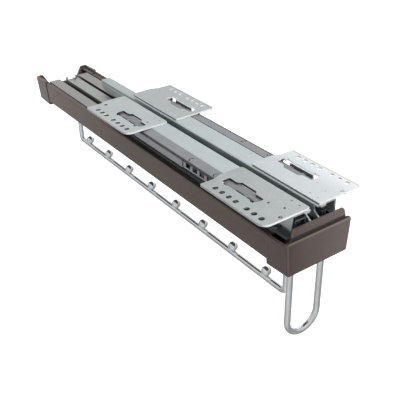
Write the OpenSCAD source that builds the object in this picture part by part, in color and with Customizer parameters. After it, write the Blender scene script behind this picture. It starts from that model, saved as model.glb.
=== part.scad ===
// Pull-out clothes rail for a wardrobe: a frame with a ball rail hangs from two three-part ball runners.
// Millimetres, +Z up. The fixing plates lie against the panel above, and the carriage pulls out along -Y.
// The origin is the centre of the fixing-hole rectangle, on the top face of the plates.
// Each side is drawn on the right (+X) and mirrored for the left.

/* [Fixing plates] */
// Sheet thickness of a plate
plate_t = 2; // [1.5:0.1:2.4]
// From the middle plane to a plate's inner edge
plate_in_x = 5; // [4.5:0.1:6]
// From the middle plane to a plate's outer edge
plate_out_x = 53; // [52:0.5:58]
// Plate beyond the holes at its front end
plate_front_margin = 10.3; // [9.5:0.1:14]
// Plate beyond the holes at its back end
plate_back_margin = 13.2; // [10:0.1:16]
// How far the inner half of the back edge stands out
plate_lobe = 3.2; // [2:0.1:5]
// Corner radius at the outer front corner of the left plates
plate_left_r = 8; // [3:0.5:9]
// Corner radius of the other corners
plate_small_r = 3; // [1:0.5:4]
// Corner radius at the outer back corners
plate_back_r = 1.5; // [0.5:0.5:3]
// From the middle plane to the row of fixing holes
hole_x = 46.4; // [44.5:0.1:48]
// Bore of a fixing hole
hole_d = 5.4; // [4:0.1:6]
// Pitch of the fixing holes in a group
hole_pitch = 9.1; // [8:0.1:10]
// Step between the group of three and the group of four
hole_group_step = 14.3; // [11:0.1:16]
// From the origin to the outermost fixing holes
hole_end_y = 133.4; // [128:0.1:140]
// From the middle plane to a positioning hole
pin_hole_x = 33.6; // [32:0.1:36]
// Bore of a positioning hole
pin_hole_d = 4; // [3:0.1:4.4]
// From the outermost fixing hole out to the positioning hole
pin_hole_step = 7.1; // [6:0.1:7.5]
// Length of a window
window_len = 46; // [42:0.5:50]
// From the middle plane to a window's outer edge
window_out_x = 34.6; // [34.4:0.1:36]
// Height of the flap bent down at a window's outer edge
flap_h = 5; // [3:0.5:8]

/* [Channels] */
// Sheet thickness of the fixed channels
channel_t = 1.5; // [1.2:0.1:1.8]
// From the middle plane to a channel's inner web
channel_in_x = 3.9; // [3.4:0.1:4.4]
// Width of a channel over both webs
channel_w = 20.2; // [20:0.1:21]
// Height of a channel from its flat to its lips
channel_h = 14.4; // [13.6:0.1:15]
// Length of a channel
channel_len = 287.5; // [284:0.5:300]
// Reach of the bottom lips
channel_lip = 1.1; // [0.8:0.1:1.4]

/* [Runners] */
// Ball diameter in all four cages
ball_d = 3.2; // [3:0.1:3.4]
// Width of a middle runner over its walls
middle_w = 12.1; // [11.9:0.1:12.3]
// Height of a middle runner
middle_h = 12.5; // [12:0.1:13]
// Sheet thickness of a middle runner
middle_t = 1.2; // [1.1:0.1:1.3]
// Length of a middle runner
middle_len = 288; // [284:1:292]
// How far back the right middle runner rests
middle_lag = 84; // [60:1:95]
// Width of the head of a moving rail
rail_head_w = 4.6; // [4.4:0.1:4.8]
// Sheet thickness of a moving rail
rail_t = 1.5; // [1.2:0.1:1.8]
// Length of a moving rail
rail_len = 290; // [286:1:294]
// Length of an outer ball cage
outer_cage_len = 124; // [100:1:126]
// Length of an inner ball cage
inner_cage_len = 62; // [50:1:64]
// Sheet thickness of the ball cages
cage_t = 0.9; // [0.7:0.1:1]
// Pull-out travel of the carriage
travel = 290; // [250:1:290]

/* [Tray] */
// Sheet thickness of the tray
tray_t = 1.5; // [1:0.1:2]
// From the middle plane to the tray's outer legs
tray_out_x = 26.4; // [25.8:0.1:26.6]
// Half width of the raised land in the middle
land_mid_x = 7.2; // [6:0.1:8]
// From the middle plane to the outer lands
land_in_x = 13; // [12.4:0.1:13.6]
// How far the middle land stands above the outer ones
land_mid_rise = 1.3; // [0:0.1:2]
// Depth of the slots below the outer lands
tray_slot_depth = 9; // [6:0.5:9.5]
// From the back of the carriage to the back of the tray
tray_back_gap = 21; // [18:0.5:26]

/* [Frame] */
// Length of the whole carriage
frame_len = 480; // [478:1:500]
// Length of the front cap
front_cap_len = 26.7; // [24:0.1:30]
// Length of the rear cap
rear_cap_len = 31.6; // [30:0.1:34]
// Height of the rear cap's rim above the profile
rear_rise = 1.2; // [0.6:0.1:2]
// Width over the top of the frame
frame_top_w = 70.8; // [70:0.1:73]
// Width over the bottom of the frame
frame_bottom_w = 67.6; // [66:0.1:70]
// Height of the frame profile
frame_h = 24.4; // [24:0.1:26]
// Wall of the frame profile
frame_wall = 3; // [2.4:0.1:3.2]
// Floor of the frame profile
frame_floor = 2; // [1.6:0.1:2.4]
// Width of the ledge inside the frame's walls
ledge_w = 4.2; // [2:0.1:4.4]
// How far the ledge lies below the frame's top
ledge_step = 2.2; // [2:0.1:3]
// How far the caps reach below the profile
cap_drop = 5.1; // [4:0.1:6.5]
// Wall of the caps
cap_wall = 3; // [2.4:0.1:3.2]
// How far the front panel stands above the profile
panel_rise = 3.5; // [2:0.1:5]
// Height of the pull lip above the panel
lip_h = 8.4; // [6:0.1:10]
// How far the pull lip leans back
lip_lean = 2; // [1:0.1:2.2]
// Thickness of the pull lip
lip_t = 2.3; // [1.8:0.1:2.6]

/* [Rail and handle] */
// Diameter of the hanging rail
hanger_d = 6.2; // [5.6:0.1:7]
// From the frame's floor down to the rail's axis
hanger_drop = 58.4; // [45:0.1:80]
// From the front of the carriage to the rail's front leg
hanger_front = 37.1; // [35:0.1:42]
// From the back of the carriage to the rail's rear leg
hanger_back = 40.3; // [39:0.1:50]
// Radius of the rail's bends on the centre line
hanger_bend_r = 6; // [5:0.5:12]
// Diameter of the balls on the rail
stop_ball_d = 10; // [8:0.5:12]
// Number of balls on the rail
stop_ball_count = 8; // [4:1:9]
// From the rail's front leg to the first ball
stop_ball_first = 27; // [18:0.5:60]
// From the last ball to the rail's rear leg
stop_ball_last = 25; // [18:0.5:60]
// Diameter of the handle's rod
handle_d = 6.3; // [5.6:0.1:7]
// Width of the handle between its legs' axes
handle_w = 35; // [28:0.5:38]
// From the caps' underside down to the centre of the handle's bow
handle_drop = 63.7; // [40:0.1:90]
// From the front of the carriage to the handle
handle_y = 14.4; // [13:0.1:15]

/* [Soft closing] */
// Travel of the catch
catch_travel = 40; // [25:1:42]
// Width of the damper housings
housing_w = 7.4; // [7:0.1:8]
// Height of the damper housings
housing_h = 11.4; // [11:0.1:11.6]
// Length of the damper housings
housing_len = 228; // [210:1:230]
// Wall of the damper housings
housing_wall = 1; // [0.8:0.1:1.1]
// How far a housing's wing reaches past the channel
wing_w = 11.8; // [11.2:0.1:12.6]
// How far the wing drops towards its edge
wing_drop = 1.2; // [0.6:0.1:1.4]
// Diameter of the damper cylinders
damper_d = 5; // [4.4:0.1:5.2]
// Diameter of the striker pins
striker_d = 3; // [2.4:0.1:3]

/* [Hidden] */
$fn = 64;

// Shared clearances and the overrun of every cut
fit = 0.1;
ball_fit = 0.05;
over = 0.5;
left = -1;
right = 1;
steel = "lightsteelblue";
zinc = "silver";
chrome = "gainsboro";
brown = "#5b4a45";
plastic = "#5f6266";
dark = "#2b2b2d";
fine_fn = 32;

// Plates: each lies against the panel, its holes counted from the outer end
hole_n_outer = 3;
hole_n_inner = 4;
hole_span = (hole_n_outer - 1) * hole_pitch + hole_group_step + (hole_n_inner - 1) * hole_pitch;
hole_mid_y = hole_end_y - hole_span / 2;
hole_ys = concat(
    [for (i = [0 : hole_n_outer - 1]) hole_end_y - i * hole_pitch],
    [for (i = [0 : hole_n_inner - 1])
        hole_end_y - (hole_n_outer - 1) * hole_pitch - hole_group_step - i * hole_pitch]
);
lobe_step_w = 10;
lobe_step_x = 28;
lobe_points = 12;
window_in_x = 26.2;
window_bay = 3.3;
window_bay_len = 18;
window_bay_step = 4;
window_r = 1.5;
window_end_steps = [20.9, 17.9];
flap_from_end = 7.3;
flap_len = 29;
flap_r = 2;
relief_len = 6;
relief_w = 2.6;
dimple_d = 2.4;
dimple_depth = 0.4;
dimple_places = [[5.1, 7.4], [5.2, 16.3], [17, 11.4], [21.8, 25.4]];

// Channels: a flat under the plates and two webs with lips
channel_top = -plate_t;
channel_roof = channel_top - channel_t;
channel_bottom = channel_top - channel_h;
channel_out_x = channel_in_x + channel_w;
channel_mid_x = channel_in_x + channel_w / 2;
channel_front = -(hole_end_y + plate_front_margin) + fit;
nose_len = 2;
nose_h = 5;
nose_foot = 2.5;
nose_rise = 6;
nose_cut = 4.5;
tongue_w = 6.4;
tongue_r = 1.8;

// Ball runners: both stages have the same gap, so the same balls run in both
ball_gap = (channel_w - channel_t - channel_t - middle_w) / 2;
head_gap = (middle_w - middle_t - middle_t - rail_head_w) / 2;
race_r = ball_d / 2 + ball_fit;
middle_drop = 5.9;
middle_top = channel_top - middle_drop;
middle_bottom = middle_top - middle_h;
middle_lip_gap = 1;
outer_ball_drop = 3.5;
outer_ball_z = middle_top - outer_ball_drop;
ball_step_z = 4;
inner_ball_z = outer_ball_z - ball_step_z;
outer_ball_x = (middle_w + ball_gap) / 2;
inner_ball_x = (rail_head_w + head_gap) / 2;
middle_front_in = 0.5;
middle_front = channel_front + middle_front_in;
rail_front_in = 2.5;
rail_front = channel_front + rail_front_in;
end_sweep = 6;
end_cut_h = 8;
cage_web_gap = 1.2;
inner_web_gap = 0.7;
cage_skirt = 2.2;
outer_cage_lead = 1.5;
outer_cage_front = middle_front + middle_lag - outer_cage_lead;
inner_cage_share = 3 / 4;
inner_cage_lead = 3.5;
inner_cage_front = rail_front + travel * inner_cage_share - inner_cage_len - inner_cage_lead;
outer_ball_n = 8;
inner_ball_n = 6;
cage_end = 4;
cage_window_in = 9;
cage_window_w = 5;

// Carriage: the frame's floor carries the tray, whose outer lands carry the moving rails
carriage_lead = 9.4;
carriage_front = channel_front - carriage_lead;
carriage_back = carriage_front + frame_len;
profile_front = carriage_front + front_cap_len;
profile_back = carriage_back - rear_cap_len;
land_drop = 5;
land_z = middle_bottom - land_drop;
rail_foot_top = land_z + rail_t;
rail_head_drop = 2.2;
rail_head_top = middle_top - middle_t - rail_head_drop;
rail_foot_in = 0.9;
rail_foot_out_x = tray_out_x - rail_foot_in;
rail_skirt_gap = 1;
rail_skirt_z = land_z + rail_skirt_gap;
frame_rise = 2.5;
frame_top = land_z + frame_rise;
frame_bottom = frame_top - frame_h;
floor_top = frame_bottom + frame_floor;
wall_top_points = 8;
ledge_t = 1.5;
ledge_top = frame_top - ledge_step;
tray_front_in = 0.5;
tray_front = profile_front + tray_front_in;
tray_back = carriage_back - tray_back_gap;
tray_len = tray_back - tray_front;
tray_foot_w = 4;
mid_land_in = 14;
fin_in = 7;
tab_h = 2.4;
tab_len = 3;
rivet_d = 4;
rivet_head_d = 6.4;
rivet_head_h = 0.8;
rivet_n = 4;
rivet_from_end = 20;
rivet_x = channel_mid_x + rail_head_w / 2 + rivet_head_d / 2 + 2 * fit;
screw_d = 4;
screw_head_d = 7.6;
screw_head_h = 2.4;
screw_slot = 1.1;
tray_screw_in = 2.1;
tray_screw_x = tray_out_x + tray_screw_in;
tray_screw_head_d = 3.6;
tray_screw_d = 2.4;
tray_screw_head_h = 1.4;
tray_screw_n = 4;
tray_screw_from_end = 40;

// Caps: hollow mouldings with a tongue that is screwed to the frame's floor
cap_bottom = frame_bottom - cap_drop;
cap_lean_share = (frame_top_w - frame_bottom_w) / 2 / frame_h;
cap_bottom_half = frame_bottom_w / 2 - cap_drop * cap_lean_share;
cap_round = 2.2;
panel_top = frame_top + panel_rise;
rear_top = frame_top + rear_rise;
panel_half = frame_top_w / 2 - fit;
lip_top = panel_top + lip_h;
cap_front_wall = 4;
lip_setback = 2.2;
lip_root = 4;
lip_foot_left = 30.9;
lip_foot_right = 31;
lip_slant_left = 5;
lip_slant_right = 1.1;
lip_corner_r = 2;
tongue_len = 18;
tongue_t = 6;
tongue_gap = 0.3;
cap_screw_x = 15;
cap_screw_y = 9.5;
socket_depth = 10;
boss_d = 11.5;
boss_roof = 2.4;
rib_t = 1.6;
seam_w = 3.2;
seam_depth = 1;
notch_top_half = 27.9;
notch_bottom_half = 18.2;
notch_depth = 14;

// Hanging rail and handle
hanger_z = frame_bottom - hanger_drop;
hanger_front_y = carriage_front + hanger_front;
hanger_back_y = carriage_back - hanger_back;
ball_sink = 0.2;
ball_seat = 0.02;
stop_ball_z = hanger_z + hanger_d / 2 + stop_ball_d / 2 - ball_sink;
stop_ball_run = hanger_back_y - hanger_front_y - stop_ball_first - stop_ball_last;
handle_bow_z = cap_bottom - handle_drop;
handle_rod_y = carriage_front + handle_y;
thread_len = 9;
thread_end = 1;
cap_screw_in = 1.5;
cross_share = 2 / 3;

// Soft closing: a housing with a wing beside each channel, a striker pin on the tray
housing_in_x = channel_out_x;
housing_out_x = housing_in_x + housing_w;
housing_mid_x = housing_in_x + housing_w / 2;
housing_bottom = channel_bottom;
housing_top = housing_bottom + housing_h;
housing_front_in = 52;
housing_front = channel_front + housing_front_in;
housing_back = housing_front + housing_len;
open_len = 90;
open_step = 0.8;
housing_round = 2;
strike_gap = 0.6;
strike_slot_w = striker_d + 2 * strike_gap;
window_pitch = 11;
window_w = 7.5;
window_n = 5;
window_first = 34;
window_rim = 2.2;
damper_z = housing_bottom + housing_h / 2 + fit;
damper_rod_d = 2;
damper_len = 92;
damper_end = 2;
damper_gap = 0.6;
damper_back = housing_back - housing_wall - damper_gap;
damper_front = damper_back - damper_len;
striker_in = 46;
striker_y = housing_front + striker_in;
rod_reach = 4;
catch_gap = 0.4;
catch_len = 14;
catch_w = housing_w - housing_wall - housing_wall - 2 * catch_gap;
catch_play = 0.7;
catch_h = housing_h - housing_wall - housing_wall - open_step - catch_play;
catch_reach = 4;
striker_len = 14;
striker_t = 1.2;
striker_rise = 1.6;
striker_shelf_z = land_z + striker_rise;
striker_drop = 13;
striker_below = 1.5;
striker_top = housing_bottom + housing_wall + catch_h - striker_below;
wing_t = 1.5;
wing_front_in = 19.6;
wing_back_in = 3.9;
wing_out_x = channel_out_x + wing_w;
wing_front = channel_front + wing_front_in;
wing_back = channel_front + channel_len - wing_back_in;
wing_low = channel_top - wing_drop - wing_t;
recess_gap = 1.6;
bridge_y = 89.5;
bridge_w = 1.6;
clip_slot_r = 3;
clip_slot_w = 1;
clip_slot_in = 6.2;
clip_back = [38.6, 75.6];

// Mirrors what follows to the left side
module on_side(s) {
    if (s < 0)
        mirror([1, 0, 0]) children();
    else
        children();
}

// Runs a cross-section drawn in x and z from y0 to y1
module along_y(y0, y1) {
    translate([0, y1, 0])
        rotate([90, 0, 0])
            linear_extrude(height = y1 - y0)
                children();
}

// A rectangle from one corner to the other
module box2(x0, y0, x1, y1) {
    translate([x0, y0])
        square([x1 - x0, y1 - y0]);
}

// A block from one corner to the other
module box3(p, q) {
    translate(p)
        cube([q[0] - p[0], q[1] - p[1], q[2] - p[2]]);
}

// What a round takes off a square corner, where sx and sy point out of the corner
module corner_waste(x, y, sx, sy, r) {
    difference() {
        translate([x - sx * r / 2 + sx * over / 2, y - sy * r / 2 + sy * over / 2])
            square([r + over, r + over], center = true);
        translate([x - sx * r, y - sy * r])
            circle(r = r);
    }
}

// A smooth step from 0 to 1
function ease(t) = t * t * (3 - 2 * t);

// The back edge of a plate, straight outside and standing out inside
function lobe_edge(y) = [for (i = [0 : lobe_points])
    [lobe_step_x + lobe_step_w * i / lobe_points, y + plate_lobe * (1 - ease(i / lobe_points))]];

module plate_outline(y0, y1, front_r) {
    difference() {
        polygon(concat(
            [[plate_in_x, y0], [plate_in_x, y1 + plate_lobe]],
            lobe_edge(y1),
            [[plate_out_x, y1], [plate_out_x, y0]]
        ));
        corner_waste(plate_out_x, y0, 1, -1, front_r);
        corner_waste(plate_out_x, y1, 1, 1, plate_back_r);
        corner_waste(plate_in_x, y0, -1, -1, plate_small_r / 2);
        corner_waste(plate_in_x, y1 + plate_lobe, -1, 1, plate_small_r);
    }
}

// The window's straight outer edge and its bay on the inner edge, counted from its outer end
function bay_edge(at, way) = [for (i = [0 : lobe_points])
    [window_in_x - window_bay * ease(way > 0 ? i / lobe_points : 1 - i / lobe_points),
        at + window_bay_step * i / lobe_points]];

module window_outline() {
    bay_front = (window_len - window_bay_len) / 2 - window_bay_step;
    bay_back = (window_len + window_bay_len) / 2;
    difference() {
        polygon(concat(
            [[window_out_x, 0], [window_in_x, 0]],
            bay_edge(bay_front, 1),
            bay_edge(bay_back, -1),
            [[window_in_x, window_len], [window_out_x, window_len]]
        ));
        corner_waste(window_out_x, 0, 1, -1, window_r);
        corner_waste(window_out_x, window_len, 1, 1, window_r);
        corner_waste(window_in_x, 0, -1, -1, window_r);
        corner_waste(window_in_x, window_len, -1, 1, window_r);
    }
}

// Where the window and its flap begin along y, for the front (e -1) or the rear (e 1)
function window_y(e) = e > 0 ? hole_end_y - window_end_steps[1] - window_len
    : window_end_steps[0] - hole_end_y;
function flap_y(e) = e > 0 ? window_y(e) + window_len - flap_from_end - flap_len
    : window_y(e) + flap_from_end;

// One plate, where e is -1 at the front and 1 at the rear
module plate(e, front_r) {
    y0 = e * hole_mid_y - hole_span / 2 - plate_front_margin;
    y1 = e * hole_mid_y + hole_span / 2 + plate_back_margin;
    difference() {
        union() {
            translate([0, 0, -plate_t])
                linear_extrude(height = plate_t)
                    difference() {
                        plate_outline(y0, y1, front_r);
                        translate([0, window_y(e)])
                            window_outline();
                        // Relief cuts at both ends of the flap
                        for (y = [flap_y(e) - relief_len, flap_y(e) + flap_len])
                            box2(window_out_x - over, y, window_out_x + relief_w, y + relief_len);
                    }
            // The flap, bent down out of the window's outer edge
            along_y(flap_y(e), flap_y(e) + flap_len)
                box2(window_out_x, -flap_h, window_out_x + plate_t, 0);
        }
        along_y(flap_y(e), flap_y(e) + flap_len)
            corner_waste(window_out_x, 0, -1, 1, flap_r);
        for (y = hole_ys)
            translate([hole_x, e * y, -plate_t - over])
                cylinder(d = hole_d, h = plate_t + 2 * over);
        translate([pin_hole_x, e * (hole_end_y + pin_hole_step), -plate_t - over])
            cylinder(d = pin_hole_d, h = plate_t + 2 * over);
        for (p = dimple_places)
            translate([plate_in_x + p[0], y0 + p[1], -dimple_depth])
                cylinder(d = dimple_d, h = dimple_depth + over);
    }
}

module channel_section() {
    difference() {
        union() {
            box2(channel_in_x, channel_roof, channel_out_x, channel_top);
            for (x = [channel_in_x, channel_out_x - channel_t])
                box2(x, channel_bottom, x + channel_t, channel_top);
            box2(channel_in_x, channel_bottom, channel_in_x + channel_t + channel_lip,
                channel_bottom + channel_t);
            box2(channel_out_x - channel_t - channel_lip, channel_bottom, channel_out_x,
                channel_bottom + channel_t);
        }
        for (s = [left, right])
            translate([channel_mid_x + s * outer_ball_x, outer_ball_z])
                circle(r = race_r);
        corner_waste(channel_in_x, channel_top, -1, 1, channel_t);
        corner_waste(channel_out_x, channel_top, 1, 1, channel_t);
        corner_waste(channel_in_x, channel_bottom, -1, -1, channel_t);
        corner_waste(channel_out_x, channel_bottom, 1, -1, channel_t);
    }
}

// The front edge of the inner web: the nose at its foot, then back in an S
function nose_edge() = [for (i = [0 : lobe_points])
    [channel_front - nose_len + (nose_len + nose_cut) * ease(i / lobe_points),
        channel_bottom + nose_foot + nose_rise * i / lobe_points]];

module channel() {
    y1 = channel_front + channel_len;
    y_tongue = channel_front - nose_len;
    difference() {
        union() {
            along_y(channel_front, y1)
                channel_section();
            // Nose at the foot of the inner web
            along_y(channel_front - nose_len, channel_front + over)
                box2(channel_in_x, channel_bottom + channel_t, channel_in_x + channel_t,
                    channel_bottom + nose_h);
            // Tongue of the flat under the plate's front corner
            translate([channel_in_x + channel_t, 0, channel_roof])
                linear_extrude(height = channel_t)
                    difference() {
                        box2(0, y_tongue, tongue_w, channel_front + over);
                        corner_waste(tongue_w, y_tongue, 1, -1, tongue_r);
                        corner_waste(0, y_tongue, -1, -1, tongue_r);
                    }
        }
        // Inner web cut back above the nose
        translate([channel_in_x - over, 0, 0])
            rotate([90, 0, 90])
                linear_extrude(height = channel_t + over + fit)
                    polygon(concat(
                        [[channel_front - nose_len - over, channel_bottom + nose_foot]],
                        nose_edge(),
                        [[channel_front + nose_cut, channel_roof],
                            [channel_front - nose_len - over, channel_roof]]
                    ));
    }
}

module middle_section() {
    half = middle_w / 2;
    lip = half - middle_t - rail_head_w / 2 - middle_lip_gap;
    translate([channel_mid_x, 0])
        difference() {
            union() {
                box2(-half, middle_top - middle_t, half, middle_top);
                for (s = [left, right])
                    union() {
                        box2(s > 0 ? half - middle_t : -half, middle_bottom,
                            s > 0 ? half : middle_t - half, middle_top);
                        box2(s > 0 ? half - middle_t - lip : -half, middle_bottom,
                            s > 0 ? half : middle_t + lip - half, middle_bottom + middle_t);
                    }
            }
            for (s = [left, right]) {
                translate([s * outer_ball_x, outer_ball_z])
                    circle(r = race_r);
                translate([s * inner_ball_x, inner_ball_z])
                    circle(r = race_r);
                corner_waste(s * half, middle_top, s, 1, middle_t);
                corner_waste(s * half, middle_bottom, s, -1, middle_t);
            }
        }
}

// A middle runner whose walls sweep back at the rear end, resting dy further back
module middle_runner(dy) {
    y1 = middle_front + dy + middle_len;
    difference() {
        along_y(middle_front + dy, y1)
            middle_section();
        translate([0, 0, middle_bottom])
            rotate([90, 0, 90])
                linear_extrude(height = channel_out_x)
                    difference() {
                        box2(y1 - end_sweep, -over, y1 + over, end_cut_h);
                        translate([y1 - end_sweep, end_cut_h])
                            circle(r = end_sweep);
                    }
    }
}

// A U-shaped cage strip over half width x, from the web's top z1 down to z0
module cage_section(x, z0, z1) {
    translate([channel_mid_x, 0])
        difference() {
            box2(-x - cage_t / 2, z0, x + cage_t / 2, z1);
            box2(-x + cage_t / 2, z0 - over, x - cage_t / 2, z1 - cage_t);
        }
}

// Where the balls of a cage sit along y
function ball_ys(y0, len, n) = [for (i = [0 : n - 1])
    y0 + cage_end + (len - 2 * cage_end) * i / (n - 1)];

module cage(x, z0, z1, ball_z, y0, len, n) {
    ys = ball_ys(y0, len, n);
    pitch = ys[1] - ys[0];
    window = min(cage_window_w, 2 * x - 2 * cage_t);
    difference() {
        along_y(y0, y0 + len)
            cage_section(x, z0, z1);
        for (y = ys)
            translate([channel_mid_x - x - cage_t, y, ball_z])
                rotate([0, 90, 0])
                    cylinder(r = race_r, h = 2 * x + 2 * cage_t);
        for (i = [0 : n - 2])
            translate([channel_mid_x - window / 2, ys[i] + (pitch - cage_window_in / 2) / 2,
                    z1 - cage_t - over])
                cube([window, cage_window_in / 2, cage_t + 2 * over]);
    }
}

module balls(x, z, y0, len, n) {
    for (s = [left, right], y = ball_ys(y0, len, n))
        translate([channel_mid_x + s * x, y, z])
            sphere(d = ball_d);
}

module outer_cage() {
    cage(outer_ball_x, outer_ball_z - cage_skirt, middle_top + cage_web_gap + cage_t,
        outer_ball_z, outer_cage_front, outer_cage_len, outer_ball_n);
}

module outer_balls() {
    balls(outer_ball_x, outer_ball_z, outer_cage_front, outer_cage_len, outer_ball_n);
}

module inner_cage() {
    cage(inner_ball_x, inner_ball_z - cage_skirt, rail_head_top + inner_web_gap + cage_t,
        inner_ball_z, inner_cage_front, inner_cage_len, inner_ball_n);
}

module inner_balls() {
    balls(inner_ball_x, inner_ball_z, inner_cage_front, inner_cage_len, inner_ball_n);
}

// The moving rail is one folded sheet: a foot on the tray, two walls and the head between them
module moving_rail_section() {
    half = rail_head_w / 2;
    x = channel_mid_x;
    difference() {
        union() {
            box2(x - half, rail_head_top - rail_t, x + half, rail_head_top);
            box2(x - half, rail_skirt_z, x - half + rail_t, rail_head_top);
            box2(x + half - rail_t, land_z, x + half, rail_head_top);
            box2(x + half - rail_t, land_z, rail_foot_out_x, rail_foot_top);
        }
        for (s = [left, right]) {
            translate([x + s * inner_ball_x, inner_ball_z])
                circle(r = race_r);
            corner_waste(x + s * half, rail_head_top, s, 1, rail_t / 2);
        }
    }
}

function rivet_ys() = [for (i = [0 : rivet_n - 1])
    rail_front + rivet_from_end + (rail_len - 2 * rivet_from_end) * i / (rivet_n - 1)];

module moving_rail() {
    difference() {
        along_y(rail_front, rail_front + rail_len)
            moving_rail_section();
        for (y = rivet_ys())
            translate([rivet_x, y, land_z - over])
                cylinder(d = rivet_d + fit, h = rail_t + 2 * over);
    }
}

module rivets() {
    for (s = [left, right])
        on_side(s)
            for (y = rivet_ys()) {
                if (y > tray_front)
                    translate([rivet_x, y, land_z - tray_t]) {
                        cylinder(d = rivet_d, h = tray_t + rail_t);
                        translate([0, 0, tray_t + rail_t])
                            cylinder(d = rivet_head_d, h = rivet_head_h);
                        translate([0, 0, -rivet_head_h])
                            cylinder(d = rivet_head_d, h = rivet_head_h);
                    }
            }
}

// The right half of the tray's folded section
module tray_half_section() {
    mid_top = land_z + land_mid_rise;
    slot_z = land_z - tray_slot_depth;
    box2(-over, mid_top - tray_t, land_mid_x, mid_top);
    box2(land_mid_x - tray_t, slot_z - tray_t, land_mid_x, mid_top);
    box2(land_mid_x - tray_t, slot_z - tray_t, land_in_x + tray_t, slot_z);
    box2(land_in_x, slot_z - tray_t, land_in_x + tray_t, land_z);
    box2(land_in_x, land_z - tray_t, tray_out_x, land_z);
    box2(tray_out_x - tray_t, floor_top, tray_out_x, land_z);
    box2(tray_out_x - tray_t, floor_top, tray_out_x + tray_foot_w, floor_top + tray_t);
}

function tray_screw_ys() = [for (i = [0 : tray_screw_n - 1])
    tray_front + tray_screw_from_end
        + (tray_len - 2 * tray_screw_from_end) * i / (tray_screw_n - 1)];

module tray() {
    foot_cut = profile_back - tray_front;
    fin_back = tray_back - fin_in;
    mid_back = tray_back - mid_land_in;
    mid_z = land_z + land_mid_rise;
    difference() {
        union() {
            along_y(tray_front, tray_back)
                for (s = [left, right])
                    mirror([s < 0 ? 1 : 0, 0])
                        tray_half_section();
            // Fins bent up at the back end of the middle land
            for (s = [left, right])
                on_side(s)
                    box3([land_mid_x - tray_t, fin_back - tab_len, mid_z - fit],
                        [land_mid_x, fin_back, mid_z + tab_h]);
            box3([0, mid_back - tab_len, mid_z - fit], [tray_t, mid_back, mid_z + tab_h]);
        }
        // The middle land ends first, then its flanks
        box3([-land_mid_x + tray_t, mid_back, mid_z - tray_t - over],
            [land_mid_x - tray_t, tray_back + over, mid_z + tab_h + over]);
        for (s = [left, right])
            on_side(s)
                box3([land_mid_x - tray_t - over, fin_back, land_z - tray_slot_depth],
                    [land_mid_x + over, tray_back + over, mid_z + tab_h + over]);
        for (s = [left, right])
            on_side(s) {
                for (y = tray_screw_ys())
                    translate([tray_screw_x, y, floor_top - over])
                        cylinder(d = tray_screw_d + fit, h = tray_t + 2 * over);
                for (y = rivet_ys())
                    translate([rivet_x, y, land_z - tray_t - over])
                        cylinder(d = rivet_d + fit, h = tray_t + 2 * over);
                // Feet and legs stop where the rear cap begins
                box3([tray_out_x - tray_t - over, tray_front + foot_cut, floor_top - over],
                    [tray_out_x + tray_foot_w + over, tray_back + over,
                        land_z - tray_t - over]);
            }
    }
}

module tray_screw_set() {
    for (s = [left, right])
        on_side(s)
            for (y = tray_screw_ys())
                translate([tray_screw_x, y, frame_bottom])
                    union() {
                        cylinder(d = tray_screw_d, h = frame_floor + tray_t);
                        translate([0, 0, frame_floor + tray_t])
                            cylinder(d = tray_screw_head_d, h = tray_screw_head_h);
                    }
}

// Half width of the frame's outside at height z
function frame_half(z) = frame_top_w / 2 - (frame_top - z) * cap_lean_share;

// The round top of a wall, from its outer face over to its inner face
function wall_top(s) = [for (i = [0 : wall_top_points])
    let (a = 180 * i / wall_top_points, r = frame_wall / 2)
        [s * (frame_half(frame_top - r) - r + r * cos(a)), frame_top - r + r * sin(a)]];

// The ledge inside a wall, from the wall's foot up to its inner face again
function ledge(s) =
    let (x = frame_half(ledge_top) - frame_wall)
    [[s * x, ledge_top], [s * (x - ledge_w), ledge_top], [s * (x - ledge_w), ledge_top - ledge_t],
        [s * (frame_half(ledge_top - ledge_t) - frame_wall), ledge_top - ledge_t]];

function reversed(list) = [for (i = [len(list) - 1 : -1 : 0]) list[i]];

module frame_section() {
    inner = frame_half(floor_top) - frame_wall;
    polygon(concat(
        [[frame_half(frame_bottom), frame_bottom]],
        wall_top(right),
        ledge(right),
        [[inner, floor_top], [-inner, floor_top]],
        reversed(ledge(left)),
        reversed(wall_top(left)),
        [[-frame_half(frame_bottom), frame_bottom]]
    ));
}

function cap_screw_places() = [for (s = [left, right], y = [profile_front + cap_screw_y,
    profile_back - cap_screw_y]) [s * cap_screw_x, y]];

function hanger_ys() = [hanger_front_y, hanger_back_y];

module profile() {
    difference() {
        along_y(profile_front, profile_back)
            frame_section();
        for (p = cap_screw_places())
            translate([p[0], p[1], frame_bottom - over])
                cylinder(d = screw_d + fit, h = frame_floor + 2 * over);
        for (y = hanger_ys())
            translate([0, y, frame_bottom - over])
                cylinder(d = screw_d + fit, h = frame_floor + 2 * over);
        for (s = [left, right], y = tray_screw_ys())
            translate([s * tray_screw_x, y, frame_bottom - over])
                cylinder(d = tray_screw_d + fit, h = frame_floor + 2 * over);
    }
}

// A thin slice of the frame's outline, from the caps' underside to height z
module cap_slice(y, z, t) {
    along_y(y, y + t)
        polygon([
            [-cap_bottom_half, cap_bottom],
            [cap_bottom_half, cap_bottom],
            [frame_half(z), z],
            [-frame_half(z), z]
        ]);
}

// The hollow of a cap, from y0 to y1, over its floor
module cap_hollow(y0, y1) {
    along_y(y0, y1)
        polygon([
            [-frame_half(frame_bottom) + cap_wall, frame_bottom],
            [frame_half(frame_bottom) - cap_wall, frame_bottom],
            [frame_half(lip_top) - cap_wall, lip_top],
            [-frame_half(lip_top) + cap_wall, lip_top]
        ]);
}

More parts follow.
